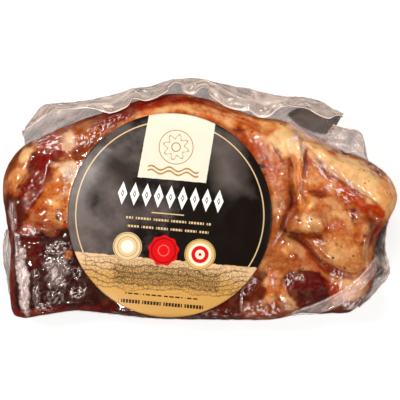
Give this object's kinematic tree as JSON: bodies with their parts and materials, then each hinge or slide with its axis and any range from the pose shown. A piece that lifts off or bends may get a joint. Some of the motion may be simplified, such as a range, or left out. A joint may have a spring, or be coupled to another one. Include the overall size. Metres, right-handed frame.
{
  "type": "vacuum-packed guanciale",
  "caption": "Slab of dried cured pork cheek shrunk into a clear vacuum bag, lying on its back, with a round paper label on its front and the bag's loose crinkled hem standing out round it.",
  "frame": {"origin": "centre of the bounding box's bottom face, on the surface that the pack lies on", "axes": "+Z out of the labelled front, +X along the pack to its right as the label is read, +Y towards the arched edge"},
  "size_m": [0.1956, 0.1202, 0.0402],
  "materials": {
    "film": "gloss",
    "meat": "gloss",
    "label": "satin"
  },
  "bodies": {
    "root": {"vacuum_pack": "film", "label": "label"}
  },
  "joints": []
}
